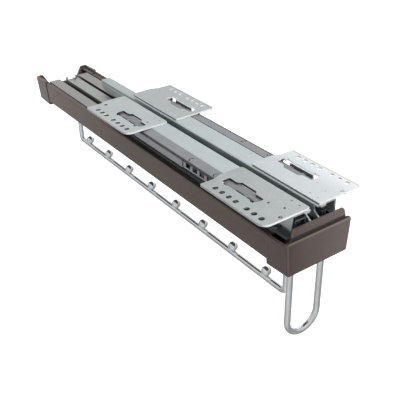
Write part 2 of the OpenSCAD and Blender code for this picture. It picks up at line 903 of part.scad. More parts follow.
// The tongue under the tray, with a well for the screw of the rail's leg
module cap_tongue(y0, y1, well_y) {
    half = tray_out_x - tray_t - tongue_gap;
    difference() {
        box3([-half, y0, floor_top], [half, y1, floor_top + tongue_t]);
        translate([0, well_y, floor_top - over])
            cylinder(d = screw_head_d + 2 * tongue_gap, h = tongue_t + 2 * over);
        for (p = cap_screw_places())
            translate([p[0], p[1], floor_top - over])
                cylinder(d = screw_d + fit, h = tongue_t);
    }
}

module handle_leg_places() {
    for (s = [left, right])
        translate([s * handle_w / 2, handle_rod_y, 0])
            children();
}

// The pull lip, its foot behind the panel's top and its corners round
module pull_lip() {
    y_foot = carriage_front + lip_setback;
    r = lip_corner_r;
    hull() {
        for (p = [[-lip_foot_left, 0], [lip_foot_right, 0]])
            translate([p[0] + (p[0] < 0 ? r : -r), y_foot + lip_t, panel_top - lip_root])
                rotate([90, 0, 0])
                    cylinder(r = r, h = lip_t, $fn = fine_fn);
        for (p = [-lip_foot_left + lip_slant_left + r, lip_foot_right - lip_slant_right - r])
            translate([p, y_foot + lip_lean + lip_t, lip_top - r])
                rotate([90, 0, 0])
                    cylinder(r = r, h = lip_t, $fn = fine_fn);
    }
}

module front_cap_shell() {
    r = cap_round;
    difference() {
        hull() {
            cap_slice(profile_front - over, frame_top + fit, over);
            for (s = [left, right]) {
                translate([s * (panel_half - r), carriage_front + r, panel_top - r])
                    sphere(r = r, $fn = fine_fn);
                translate([s * (cap_bottom_half - r), carriage_front + r, cap_bottom + r])
                    sphere(r = r, $fn = fine_fn);
            }
        }
        // The side walls stay level behind the front panel
        box3([-frame_top_w, carriage_front + cap_front_wall - fit, frame_top],
            [frame_top_w, profile_front + over, panel_top + over]);
    }
}

module front_cap_body() {
    boss_top = cap_bottom + socket_depth + boss_roof;
    difference() {
        union() {
            difference() {
                front_cap_shell();
                cap_hollow(carriage_front + cap_front_wall, profile_front + over);
            }
            pull_lip();
            cap_tongue(profile_front - over, profile_front + tongue_len, hanger_front_y);
            // Web that joins the floor of the cap to the tongue
            box3([-tray_out_x + tray_t + tongue_gap, profile_front - cap_wall, frame_bottom],
                [tray_out_x - tray_t - tongue_gap, profile_front, floor_top + tongue_t]);
            handle_leg_places()
                translate([0, 0, cap_bottom + over])
                    cylinder(d = boss_d, h = boss_top - cap_bottom - over);
            for (s = [left, right])
                box3([s * handle_w / 2 - rib_t / 2, carriage_front + cap_wall - over, cap_bottom + over],
                    [s * handle_w / 2 + rib_t / 2, profile_front - cap_wall + over, boss_top]);
        }
        handle_leg_places() {
            translate([0, 0, cap_bottom - over])
                cylinder(d = handle_d + fit, h = socket_depth + over);
            translate([0, 0, cap_bottom])
                cylinder(d = screw_d + fit, h = socket_depth + boss_roof + over);
        }
    }
}

// The notch in the rear wall
module rear_notch() {
    z1 = rear_top + over;
    z0 = frame_top - notch_depth;
    along_y(carriage_back - cap_wall - over, carriage_back + over)
        polygon([
            [-notch_top_half, z1],
            [-notch_bottom_half, z0],
            [notch_bottom_half, z0],
            [notch_top_half, z1]
        ]);
}

module rear_cap_shell() {
    r = cap_round;
    hull() {
        cap_slice(profile_back + seam_w, rear_top, over);
        for (s = [left, right]) {
            translate([s * (frame_half(rear_top) - r), carriage_back - r, rear_top - r])
                sphere(r = r, $fn = fine_fn);
            translate([s * (cap_bottom_half - r), carriage_back - r, cap_bottom + r])
                sphere(r = r, $fn = fine_fn);
        }
    }
}

module rear_cap_body() {
    // The recessed rim that shows as a dark seam against the profile
    difference() {
        along_y(profile_back, profile_back + seam_w + over)
            polygon([
                [-cap_bottom_half + seam_depth, cap_bottom + seam_depth],
                [cap_bottom_half - seam_depth, cap_bottom + seam_depth],
                [frame_half(frame_top) - seam_depth, frame_top - seam_depth],
                [-frame_half(frame_top) + seam_depth, frame_top - seam_depth]
            ]);
        cap_hollow(profile_back - over, profile_back + seam_w + 2 * over);
    }
    difference() {
        rear_cap_shell();
        cap_hollow(profile_back - over, carriage_back - cap_wall);
        rear_notch();
    }
    // The ledges go on inside its walls
    for (s = [left, right])
        on_side(s)
            box3([frame_half(ledge_top) - frame_wall - ledge_w, profile_back, ledge_top - ledge_t],
                [frame_half(frame_bottom) - seam_depth - fit, carriage_back - fit, ledge_top]);
    cap_tongue(profile_back - tongue_len, profile_back + over, hanger_back_y);
    box3([-tray_out_x + tray_t + tongue_gap, profile_back, frame_bottom - fit],
        [tray_out_x - tray_t - tongue_gap, profile_back + cap_wall, floor_top + tongue_t]);
}

// A pan-head screw with its head on z and its shank going down (way -1) or up (way 1)
module screw(z, shank, way) {
    translate([0, 0, z])
        mirror([0, 0, way < 0 ? 1 : 0])
            difference() {
                union() {
                    cylinder(d = screw_d, h = shank);
                    translate([0, 0, -screw_head_h])
                        cylinder(d = screw_head_d, h = screw_head_h);
                }
                for (a = [0, 90])
                    rotate([0, 0, a])
                        translate([-screw_head_d * cross_share / 2, -screw_slot / 2,
                                -screw_head_h - over])
                            cube([screw_head_d * cross_share, screw_slot, screw_slot + over]);
            }
}

module cap_screw_set() {
    for (p = cap_screw_places())
        translate([p[0], p[1], 0])
            screw(frame_bottom, frame_floor + tongue_t - cap_screw_in, 1);
}

module hanger_screw_set() {
    for (y = hanger_ys())
        translate([0, y, 0])
            screw(floor_top, frame_floor + thread_len, -1);
}

module handle_screw_set() {
    handle_leg_places()
        screw(cap_bottom + socket_depth + boss_roof, boss_roof + thread_len, -1);
}

module hanger() {
    difference() {
        union() {
            for (y = hanger_ys())
                translate([0, y, hanger_z + hanger_bend_r])
                    cylinder(d = hanger_d, h = hanger_drop - hanger_bend_r);
            translate([0, hanger_back_y - hanger_bend_r, hanger_z])
                rotate([90, 0, 0])
                    cylinder(d = hanger_d,
                        h = hanger_back_y - hanger_front_y - 2 * hanger_bend_r);
            hanger_corner(hanger_front_y, 1);
            hanger_corner(hanger_back_y, -1);
        }
        for (y = hanger_ys())
            translate([0, y, frame_bottom - thread_len - thread_end])
                cylinder(d = screw_d + fit, h = thread_len + thread_end + over);
        stop_ball_set(ball_seat);
    }
}

// A quarter of a torus from a leg at y into the run, which goes off along way
module hanger_corner(y, way) {
    translate([0, y + way * hanger_bend_r, hanger_z + hanger_bend_r])
        mirror([0, way < 0 ? 1 : 0, 0])
            rotate([90, 0, 90])
                rotate([0, 0, 180])
                    rotate_extrude(angle = 90)
                        translate([hanger_bend_r, 0])
                            circle(d = hanger_d);
}

module stop_ball_set(grow) {
    for (i = [0 : stop_ball_count - 1])
        translate([0, hanger_front_y + stop_ball_first + stop_ball_run * i / (stop_ball_count - 1),
                stop_ball_z])
            sphere(r = stop_ball_d / 2 + grow);
}

module handle_bow() {
    difference() {
        union() {
            handle_leg_places()
                translate([0, 0, handle_bow_z])
                    cylinder(d = handle_d, h = handle_drop + socket_depth);
            translate([0, handle_rod_y, handle_bow_z])
                rotate([90, 0, 0])
                    rotate([0, 0, 180])
                        rotate_extrude(angle = 180)
                            translate([handle_w / 2, 0])
                                circle(d = handle_d);
        }
        handle_leg_places()
            translate([0, 0, cap_bottom + socket_depth - thread_len - thread_end])
                cylinder(d = screw_d + fit, h = thread_len + thread_end + over);
    }
}

// Outside of the damper housing: the rear part stands prouder than the open front part
module housing_section(inset) {
    x1 = housing_out_x - inset;
    z1 = housing_top - inset;
    difference() {
        box2(housing_in_x, housing_bottom, x1, z1);
        corner_waste(x1, z1, 1, 1, housing_round);
        corner_waste(x1, housing_bottom, 1, -1, housing_wall);
    }
}

// The wing that closes the housing upwards and shows through the plates' windows
module wing() {
    difference() {
        along_y(wing_front, wing_back)
            polygon([
                [channel_out_x, channel_top],
                [wing_out_x, channel_top - wing_drop],
                [wing_out_x, wing_low],
                [channel_out_x, channel_top - wing_t]
            ]);
        // Set back at each window to let the flap pass
        for (e = [-1, 1])
            box3([window_out_x - recess_gap, window_y(e) - over, wing_low - over],
                [wing_out_x + over, window_y(e) + window_len + over, channel_top + over]);
        for (y = clip_back)
            clip_slot(housing_front + y);
    }
    // A bridge across each gap
    for (e = [-1, 1])
        box3([window_out_x - recess_gap - over, e * bridge_y - bridge_w / 2, wing_low],
            [window_out_x - fit, e * bridge_y + bridge_w / 2, wing_low + wing_t]);
}

// A half-moon slot in the wing
module clip_slot(y) {
    translate([channel_out_x + clip_slot_in, y, wing_low - over])
        linear_extrude(height = wing_t + wing_drop + 2 * over)
            intersection() {
                difference() {
                    circle(r = clip_slot_r);
                    circle(r = clip_slot_r - clip_slot_w);
                }
                box2(-clip_slot_r - over, 0, clip_slot_r + over, clip_slot_r + over);
            }
}

module housing() {
    y_open = housing_front + open_len;
    wall = housing_wall;
    wing();
    // Web between the housing's top and the wing
    box3([housing_in_x, housing_front, housing_top - open_step - over],
        [housing_in_x + wall, housing_back, channel_top - wing_t / 2]);
    difference() {
        union() {
            along_y(housing_front, y_open + over)
                housing_section(open_step);
            along_y(y_open, housing_back)
                housing_section(0);
        }
        // Long hollow for the cylinder, its rod and the catch
        box3([housing_in_x + wall, housing_front - over, housing_bottom + wall],
            [housing_out_x - wall - open_step, y_open, housing_top - wall - open_step]);
        box3([housing_in_x + wall, y_open - over, housing_bottom + wall],
            [housing_out_x - wall, housing_back - wall, housing_top - wall]);
        // Slot in the underside for the striker pin
        box3([housing_mid_x - strike_slot_w / 2, housing_front - over, housing_bottom - over],
            [housing_mid_x + strike_slot_w / 2, striker_y + strike_slot_w / 2,
                housing_bottom + wall + over]);
        // Side windows with ribs between them
        for (i = [0 : window_n - 1])
            box3([housing_out_x - wall - open_step - over,
                    housing_front + window_first + i * window_pitch,
                    housing_bottom + window_rim],
                [housing_out_x + over, housing_front + window_first + i * window_pitch + window_w,
                    housing_top - open_step - window_rim]);
    }
}

module damper_cylinder() {
    bore = damper_rod_d + fit + fit;
    translate([housing_mid_x, damper_back, damper_z])
        rotate([90, 0, 0])
            difference() {
                cylinder(d = damper_d, h = damper_len);
                translate([0, 0, damper_end])
                    cylinder(d = bore, h = damper_len);
            }
}

module damper_rod() {
    y0 = striker_y + striker_d / 2 + catch_gap + catch_len;
    translate([housing_mid_x, y0, damper_z])
        rotate([-90, 0, 0])
            cylinder(d = damper_rod_d, h = damper_front + catch_travel + rod_reach - y0);
}

// The catch: a block behind the pin with two cheeks beside it
module catch_block() {
    y0 = striker_y + striker_d / 2 + catch_gap;
    z0 = housing_bottom + housing_wall + catch_gap;
    x0 = housing_mid_x - open_step / 2;
    difference() {
        box3([x0 - catch_w / 2, y0 - catch_reach, z0],
            [x0 + catch_w / 2, y0 + catch_len, z0 + catch_h]);
        box3([housing_mid_x - striker_d / 2 - catch_gap, y0 - catch_reach - over, z0 - over],
            [housing_mid_x + striker_d / 2 + catch_gap, y0, z0 + catch_h + over]);
    }
}

// The striker: an angle on the tray's leg with an upright pin
module striker() {
    box3([tray_out_x, striker_y - striker_len / 2, striker_shelf_z - striker_drop],
        [tray_out_x + striker_t, striker_y + striker_len / 2, striker_shelf_z]);
    box3([tray_out_x, striker_y - striker_len / 2, striker_shelf_z],
        [housing_mid_x + striker_d, striker_y + striker_len / 2, striker_shelf_z + striker_t]);
    translate([housing_mid_x, striker_y, striker_shelf_z])
        cylinder(d = striker_d, h = striker_top - striker_shelf_z);
}

module plate_front_left() { color(zinc) on_side(left) plate(-1, plate_left_r); }
module plate_front_right() { color(zinc) on_side(right) plate(-1, plate_small_r); }
module plate_rear_left() { color(zinc) on_side(left) plate(1, plate_left_r); }
module plate_rear_right() { color(zinc) on_side(right) plate(1, plate_small_r); }
module channel_left() { color(steel) on_side(left) channel(); }
module channel_right() { color(steel) on_side(right) channel(); }
module outer_cage_left() { color(plastic) on_side(left) outer_cage(); }
module outer_cage_right() { color(plastic) on_side(right) outer_cage(); }
module outer_balls_left() { color(chrome) on_side(left) outer_balls(); }
module outer_balls_right() { color(chrome) on_side(right) outer_balls(); }
module middle_runner_left() { color(zinc) on_side(left) middle_runner(0); }
module middle_runner_right() { color(zinc) on_side(right) middle_runner(middle_lag); }
module inner_cage_left() { color(plastic) on_side(left) inner_cage(); }
module inner_cage_right() { color(plastic) on_side(right) inner_cage(); }
module inner_balls_left() { color(chrome) on_side(left) inner_balls(); }
module inner_balls_right() { color(chrome) on_side(right) inner_balls(); }
module moving_rail_left() { color(zinc) on_side(left) moving_rail(); }
module moving_rail_right() { color(zinc) on_side(right) moving_rail(); }
module rail_rivets() { color(chrome) rivets(); }
module carriage_tray() { color(steel) tray(); }
module tray_screws() { color(chrome) tray_screw_set(); }
module frame_profile() { color(brown) profile(); }
module front_cap() { color(brown) front_cap_body(); }
module rear_cap() { color(brown) rear_cap_body(); }
module cap_screws() { color(chrome) cap_screw_set(); }
module hanger_rail() { color(chrome) hanger(); }
module stop_balls() { color(chrome) stop_ball_set(0); }
module hanger_screws() { color(chrome) hanger_screw_set(); }
module handle() { color(chrome) handle_bow(); }
module handle_screws() { color(chrome) handle_screw_set(); }
module damper_housing_left() { color(plastic) on_side(left) housing(); }
module damper_housing_right() { color(plastic) on_side(right) housing(); }
module damper_cylinder_left() { color(zinc) on_side(left) damper_cylinder(); }
module damper_cylinder_right() { color(zinc) on_side(right) damper_cylinder(); }
module damper_rod_left() { color(chrome) on_side(left) damper_rod(); }
module damper_rod_right() { color(chrome) on_side(right) damper_rod(); }
module catch_left() { color(dark) on_side(left) catch_block(); }
module catch_right() { color(dark) on_side(right) catch_block(); }
module striker_left() { color(dark) on_side(left) striker(); }
module striker_right() { color(dark) on_side(right) striker(); }

plate_front_left();
plate_front_right();
plate_rear_left();
plate_rear_right();
channel_left();
channel_right();
outer_cage_left();
outer_cage_right();
outer_balls_left();
outer_balls_right();
middle_runner_left();
middle_runner_right();
inner_cage_left();
inner_cage_right();
inner_balls_left();
inner_balls_right();
moving_rail_left();
moving_rail_right();
rail_rivets();
carriage_tray();
tray_screws();
frame_profile();
front_cap();
rear_cap();
cap_screws();
hanger_rail();
stop_balls();
hanger_screws();
handle();
handle_screws();
damper_housing_left();
damper_housing_right();
damper_cylinder_left();
damper_cylinder_right();
damper_rod_left();
damper_rod_right();
catch_left();
catch_right();
striker_left();
striker_right();
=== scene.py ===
"""Looks of a pull-out clothes rail: materials, world, floor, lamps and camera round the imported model."""

import bpy
from mathutils import Matrix, Vector


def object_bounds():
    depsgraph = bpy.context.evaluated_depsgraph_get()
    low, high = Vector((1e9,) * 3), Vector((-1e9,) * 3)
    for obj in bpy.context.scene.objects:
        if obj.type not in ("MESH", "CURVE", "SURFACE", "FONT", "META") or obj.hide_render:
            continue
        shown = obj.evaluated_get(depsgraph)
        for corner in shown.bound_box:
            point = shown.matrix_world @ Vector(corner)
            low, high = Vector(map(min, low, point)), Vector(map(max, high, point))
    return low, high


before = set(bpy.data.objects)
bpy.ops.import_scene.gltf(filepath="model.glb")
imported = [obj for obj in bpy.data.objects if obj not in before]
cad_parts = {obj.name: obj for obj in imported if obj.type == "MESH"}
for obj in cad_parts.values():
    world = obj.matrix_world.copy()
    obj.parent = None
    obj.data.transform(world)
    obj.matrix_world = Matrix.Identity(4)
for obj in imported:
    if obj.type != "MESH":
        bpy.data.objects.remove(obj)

CAD_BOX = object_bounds()
MM = 0.001
WHITE = (1, 1, 1, 1)

# The camera, solved from the photograph's edges, in the row frame. Lengths are in metres unless a
# comment says mm.
CAMERA_PLACE = Vector((-0.33298, -0.46404, 0.27874))
CAMERA_RIGHT = Vector((0.8149, -0.5793, -0.0194))
CAMERA_UP = Vector((0.3114, 0.4095, 0.8575))
CAMERA_BACK = Vector((-0.4888, -0.7048, 0.5141))
LENS_MM = 60.30
SENSOR_MM = 36
CLIP_START = 0.01

# The floor lies below the handle's bow. Its glow shows to the camera only and lifts it to white.
FLOOR_DROP = 0.12
FLOOR_SIZE = 14
FLOOR_COLOUR = (0.82, 0.82, 0.82, 1)
FLOOR_ROUGHNESS = 0.8
FLOOR_GLOW = 0.56

# Soft square lamps: name, place, what it looks at, size, watts.
MIDDLE = (0, 0.05, -0.05)
REAR_END = (-0.03, 0.25, -0.03)
LAMPS = (
    ("key", (0.3, -0.6, 1.6), MIDDLE, 1.2, 26),
    ("front", (0.8, -1.8, 0.3), MIDDLE, 1.2, 8),
    ("side", (-1.6, -0.4, 0.5), MIDDLE, 1.4, 3),
    ("rear", (-0.8, 0.75, 0.25), REAR_END, 0.5, 7),
)

# What mirror rays see, by direction. Above: a sky with a bright panel. Below: a ground that is brighter
# on the side of the camera and behind the object. An edge is where a part begins and where it is full.
PANEL_AIM = (0.800, 0.373, 0.469)
PANEL_EDGE = (0.89, 1.0)
PANEL_LEVELS = (0.0, 0.62)
SKY_EDGE = (-0.05, 0.30)
SKY_LEVEL = 0.74
LOW_AIM = (-0.819, -0.574, 0.0)
LOW_EDGE = (0.15, 0.82)
LOW_LEVELS = (0.38, 0.72)
BACK_AIM = (0.4888, 0.7048, -0.5141)
BACK_EDGE = (0.40, 0.85)
BACK_LEVELS = (0.0, 0.85)

# What all other rays get from the world.
AMBIENT_COLOUR = (0.97, 0.985, 1.0, 1)
AMBIENT_LEVEL = 0.50

# Masks from the surface's shape: what they start from, and where they are full.
EDGE_TURN = (0.995, 0.86)
ROUND_PART = (0.96, 0.84)
OPEN_SHARE = (0.2, 0.95)
LOOKS_FRONT = ("Y", -0.5, -0.9)
LOOKS_LEFT = ("X", -0.3, -0.8)
NOT_UP = ("Z", 0.8, 0.3)
NOT_DOWN = ("Z", -0.8, -0.3)
SHAPE_SAMPLES = 6


def linear(red, green, blue):
    """A colour given in 0-255 steps, as the linear values that a shader takes."""
    def one(step):
        share = step / 255
        return share / 12.92 if share <= 0.04045 else ((share + 0.055) / 1.055) ** 2.4
    return (one(red), one(green), one(blue), 1)


class Tree:
    """Short calls for building a node tree."""

    def __init__(self, tree):
        self.tree = tree

    def feed(self, socket, value):
        if isinstance(value, bpy.types.NodeSocket):
            self.tree.links.new(value, socket)
        else:
            socket.default_value = value

    def add(self, kind, inputs, output=0, **settings):
        """Adds a node, feeds its inputs and hands back one of its outputs."""
        made = self.tree.nodes.new(kind)
        for key, value in settings.items():
            setattr(made, key, value)
        for key, value in inputs.items():
            self.feed(made.inputs[key], value)
        return made.outputs[output]

    def math(self, operation, first, second=0.0):
        return self.add("ShaderNodeMath", {0: first, 1: second}, operation=operation)

    def dot(self, first, second):
        return self.add("ShaderNodeVectorMath", {0: first, 1: second}, "Value", operation="DOT_PRODUCT")

    def axis(self, vector, axis):
        return self.add("ShaderNodeSeparateXYZ", {0: vector}, axis)

    def span(self, value, low, high, to_low=0.0, to_high=1.0, way="LINEAR"):
        """value from low to high, turned into to_low to to_high and held there."""
        inputs = {"Value": value, "From Min": low, "From Max": high, "To Min": to_low, "To Max": to_high}
        return self.add("ShaderNodeMapRange", inputs, interpolation_type=way)

    def weighted(self, *parts):
        """The sum of values, each times its weight."""
        first, *others = [self.math("MULTIPLY", value, weight) for value, weight in parts]
        for other in others:
            first = self.math("ADD", first, other)
        return first


class Look(Tree):
    """One material, with its colour, roughness and normal built up through short calls."""

    def __init__(self, name, metallic, roughness):
        self.material = bpy.data.materials.new(name)
        self.material.use_nodes = True
        super().__init__(self.material.node_tree)
        self.shader = self.tree.nodes["Principled BSDF"]
        self.shader.inputs["Metallic"].default_value = metallic
        self.shader.inputs["Roughness"].default_value = roughness
        self.place = self.add("ShaderNodeTexCoord", {}, "Object")
        self.normal = None

    def stretched(self, scales):
        return self.add("ShaderNodeMapping", {"Vector": self.place, "Scale": scales})

    def noise(self, scale, detail=3.0, stretch=(1, 1, 1)):
        inputs = {"Vector": self.stretched(stretch), "Scale": scale, "Detail": detail}
        return self.add("ShaderNodeTexNoise", inputs, "Fac")

    def cells(self, scale, stretch=(1, 1, 1)):
        """One random level for each cell of a pattern of cells."""
        inputs = {"Vector": self.stretched(stretch), "Scale": scale}
        colour = self.add("ShaderNodeTexVoronoi", inputs, "Color")
        return self.add("ShaderNodeSeparateColor", {"Color": colour}, "Red")

    def mix(self, share, first, second):
        return self.add("ShaderNodeMix", {0: share, 6: first, 7: second}, 2, data_type="RGBA")

    def tint(self, colour, mask, share, tone):
        """colour with a share of tone where mask is 1."""
        return self.mix(self.math("MULTIPLY", mask, share), colour, tone)

    def shaded(self, colour, shades):
        """colour with another tone in each shade's box: painted light and shade by place."""
        for share, tone, bands in shades:
            colour = self.tint(colour, self.box(bands), share, tone)
        return colour

    def true_normal(self):
        return self.add("ShaderNodeNewGeometry", {}, "Normal")

    def rounded_normal(self, radius):
        return self.add("ShaderNodeBevel", {"Radius": radius}, samples=SHAPE_SAMPLES)

    def edges(self, radius):
        """1 along sharp edges, 0 away from them."""
        return self.span(self.dot(self.rounded_normal(radius), self.true_normal()), *EDGE_TURN)

    def rounds(self):
        """1 where the surface turns from one main direction to another, 0 where it faces one of them."""
        normal = self.true_normal()
        sizes = [self.math("ABSOLUTE", self.axis(normal, axis)) for axis in "XYZ"]
        most = self.math("MAXIMUM", self.math("MAXIMUM", sizes[0], sizes[1]), sizes[2])
        return self.span(most, *ROUND_PART)

    def facing(self, axis, low, high):
        """0 to 1 as the surface normal's part along an axis goes from low to high."""
        return self.span(self.axis(self.true_normal(), axis), low, high)

    def painted_nook_shade(self, colour, reach, depth):
        """colour darkened by up to depth where other faces stand within reach: painted shade in corners
        and hollows.
        """
        open_share = self.add("ShaderNodeAmbientOcclusion", {"Distance": reach}, "AO",
                              samples=SHAPE_SAMPLES)
        shade = self.span(open_share, *OPEN_SHARE, 1.0 - depth, 1.0)
        return self.add("ShaderNodeVectorMath", {0: colour, "Scale": shade}, operation="SCALE")

    def along(self, axis):
        return self.axis(self.place, axis)

    def band(self, axis, low, high, soft, both_sides=False):
        """1 where the place along an axis lies between low and high, 0 beyond the soft edges, in mm."""
        value = self.along(axis)
        if both_sides:
            value = self.math("ABSOLUTE", value)
        rise = self.span(value, (low - soft) * MM, low * MM)
        return self.math("MULTIPLY", rise, self.span(value, (high + soft) * MM, high * MM))

    def box(self, bands):
        """1 where the place lies in every band."""
        share = 1.0
        for band in bands:
            share = self.math("MULTIPLY", self.band(*band), share)
        return share

    def soften(self, radius):
        """Rounds the edges in the shading."""
        self.normal = self.rounded_normal(radius)

    def bump(self, height, distance, strength=1.0):
        inputs = {"Height": height, "Distance": distance, "Strength": strength}
        if self.normal is not None:
            inputs["Normal"] = self.normal
        self.normal = self.add("ShaderNodeBump", inputs)

    def finish(self, colour, roughness):
        self.feed(self.shader.inputs["Base Color"], colour)
        self.feed(self.shader.inputs["Roughness"], roughness)
        if self.normal is not None:
            self.feed(self.shader.inputs["Normal"], self.normal)
        return self.material


# Shades are painted light and shade by place, (share, tone, bands). Each band is an axis, its two ends
# and the width of its soft edges, in mm, and a last True makes it hold on both sides of the middle.
# The tray's middle land, painted paler: a painted reflection.
TRAY_SHADES = (
    (0.4, linear(196, 206, 201), (("X", -7.5, 7.5, 0.3), ("Z", -27.0, -10.0, 1.0))),
)
# Painted shade on the walls of the left plates' holes and windows, on the front plate and on the rear
# plate.
LEFT_OPENINGS = ((-49.3, -43.5), (-35.2, -18.0))
LEFT_PLATES = ((-139.0, -62.0), (68.0, 145.0))
LEFT_HOLE_SHADES = tuple(
    (0.9, linear(66, 68, 67), (("X", *across, 0.1), ("Y", *along, 0.1), ("Z", -7.0, -0.4, 0.1)))
    for across in LEFT_OPENINGS for along in LEFT_PLATES)
# The right plates' outer rim, turned darker and warmer, and painted shade on the inner faces of their
# flaps and along their inner edge.
RIGHT_PLATE_SHADES = (
    (0.55, linear(186, 178, 176), (("X", 50.2, 51.2, 0.4),)),
    (0.9, linear(34, 36, 38), (("X", 32.5, 35.0, 0.1), ("Z", -7.0, -1.4, 0.1))),
    (0.85, linear(64, 74, 76), (("X", 4.0, 5.4, 0.1), ("Z", -4.0, -0.3, 0.1))),
)
# Painted shade in the groove under the front cap's lip, in the seam before the rear cap, and, redder, on
# the inside of the front cap.
CAP_PAINTED_SHADE = linear(36, 30, 29)
CAP_SHADES = (
    (0.85, CAP_PAINTED_SHADE, (("Z", -20.2, -17.2, 0.8), ("Y", -151.5, -145.0, 0.5))),
    (0.9, CAP_PAINTED_SHADE, (("Y", 294.6, 298.4, 0.2),)),
    (0.8, linear(92, 58, 52),
     (("X", -33.2, 33.2, 0.1), ("Y", -147.0, -100.0, 0.5), ("Z", -35.0, -24.6, 0.3))),
)
# The right-hand walls of the profile and the caps; their inner faces get painted shade.
RIGHT_WALL = (("X", 24.0, 50.0, 1.0),)
# Painted light: where the caps and the front right plate turn paler toward the right, and the brown
# pieces toward the rear, in mm.
CAP_PAINTED_LIGHT_X = (-34, 36)
CAP_PAINTED_LIGHT_Y = (200, 300)
PROFILE_PAINTED_LIGHT_Y = (120, 300)
PLATE_PAINTED_LIGHT_X = (26, 60)
# Painted shade: dark slots along the outer edge of each wing, seen through the plates' windows, and a
# painted shadow line along the edge itself.
PAINTED_SLOT_SHADE = linear(38, 40, 43)
WING_SLOTS = tuple(
    (("X", 31.4, 34.6, 0.1, True), ("Y", *along, 0.1, True), ("Z", -6.0, 0.0, 0.1))
    for along in ((83.5, 94.5), (98.5, 107.0), (111.0, 119.5)))
WING_EDGE = (("X", 34.3, 36.5, 0.3, True), ("Z", -6.0, 0.0, 0.1))

# Painted light: the pale tone of the zinc's painted glints and of its painted brightening.
PAINTED_ZINC_LIGHT = linear(240, 243, 244)
SHEET_METALLIC = 0.85
CUT_METALLIC = 0.15


def zinc_colour(look, lines, smudges, pale, dark):
    """The zinc's own colour, crystals, lines and smudges between dark and pale, and pits, with painted
    glints over it.
    """
    crystals = look.span(look.cells(520, (1, 0.55, 1)), 0, 1, 0.30, 0.70)
    tone = look.weighted((crystals, 0.35), (lines, 0.25), (smudges, 0.40))
    colour = look.mix(tone, dark, pale)
    # Painted glints: bright specks in random cells.
    colour = look.tint(colour, look.span(look.cells(1500), 0.94, 0.99), 0.30, PAINTED_ZINC_LIGHT)
    return look.tint(colour, look.span(look.noise(210, 2), 0.70, 0.78), 0.35, linear(150, 156, 157))


def matt_cuts_with_painted_highlight(look, colour, front_only):
    """Makes a sheet's sheared faces matt, and pale as a painted highlight, or only those that look to the
    front.
    """
    if front_only:
        cuts = look.facing(*LOOKS_FRONT)
    else:
        cuts = look.math("MULTIPLY", look.facing(*NOT_UP), look.facing(*NOT_DOWN))
    look.feed(look.shader.inputs["Metallic"], look.span(cuts, 0, 1, SHEET_METALLIC, CUT_METALLIC))
    # Painted highlight: the sheared faces turned nearly white.
    return look.tint(colour, cuts, 0.85, linear(250, 252, 253))


def galvanised(name, pale, dark, shine, reach=9, depth=0.55, cuts=None, painted_light_x=None, shades=()):
    """Zinc-coated sheet: faint crystals with painted glints, rolling lines along the rail, smudges, and a
    painted highlight along the edges.

    reach, in mm, and depth say how far and how much the painted shade in corners and hollows darkens. cuts
    is "all" or "front" where sheared faces are matt and painted pale, a painted highlight. Across the X
    ends that it is given for painted light, in mm, it turns paler.
    """
    look = Look(name, SHEET_METALLIC, shine)
    look.soften(0.25 * MM)
    lines = look.noise(900, 2, (1, 0.02, 1))
    smudges = look.span(look.noise(38, 4), 0.35, 0.72)
    colour = zinc_colour(look, lines, smudges, linear(*pale), linear(*dark))
    # Painted light: paler along X across the given ends.
    if painted_light_x:
        colour = look.mix(paler(look, "X", painted_light_x), colour, PAINTED_ZINC_LIGHT)
    # Painted highlight along the sharp edges.
    colour = look.tint(colour, look.edges(0.4 * MM), 0.35, linear(232, 238, 240))
    # Painted shade in corners and hollows.
    colour = look.painted_nook_shade(colour, reach * MM, depth)
    if cuts:
        colour = matt_cuts_with_painted_highlight(look, colour, cuts == "front")
    # Painted light and shade by place.
    colour = look.shaded(colour, shades)
    rough = look.span(look.weighted((lines, 0.5), (smudges, 0.5)), 0.2, 0.8, shine - 0.06, shine + 0.08)
    look.bump(look.noise(260, 3), 0.03 * MM, 0.5)
    look.bump(lines, 0.01 * MM, 0.5)
    return look.finish(colour, rough)


def paler(look, axis, ends):
    """0 to 1 from one end to the other along an axis, in mm."""
    return look.span(look.along(axis), ends[0] * MM, ends[1] * MM)


def inner_right(look):
    """1 on the inner faces of the right-hand walls, 0 elsewhere."""
    return look.math("MULTIPLY", look.facing(*LOOKS_LEFT), look.box(RIGHT_WALL))


def brown_profile():
    """Brown coated extrusion: faint die lines along its length, a satin face, painted highlight on the
    edges.
    """
    look = Look("brown_extrusion", metallic=0.2, roughness=0.42)
    look.soften(0.35 * MM)
    lines = look.noise(700, 3, (1, 0.012, 1))
    clouds = look.noise(30, 3, (1, 0.35, 1))
    tone = look.weighted((lines, 0.6), (clouds, 0.4))
    colour = look.mix(look.span(tone, 0.3, 0.7), linear(68, 58, 53), linear(80, 70, 65))
    # Painted light: paler toward the rear.
    colour = look.tint(colour, paler(look, "Y", PROFILE_PAINTED_LIGHT_Y), 0.3, linear(124, 114, 108))
    # Painted highlight along the edges.
    colour = look.tint(colour, look.edges(0.6 * MM), 0.45, linear(132, 122, 116))
    # Painted shade on the inner faces of the right-hand walls.
    colour = look.tint(colour, inner_right(look), 0.6, linear(58, 56, 51))
    # Painted shade in corners and hollows.
    colour = look.painted_nook_shade(colour, 8 * MM, 0.5)
    look.bump(lines, 0.02 * MM, 0.6)
    return look.finish(colour, look.span(tone, 0.3, 0.7, 0.38, 0.48))


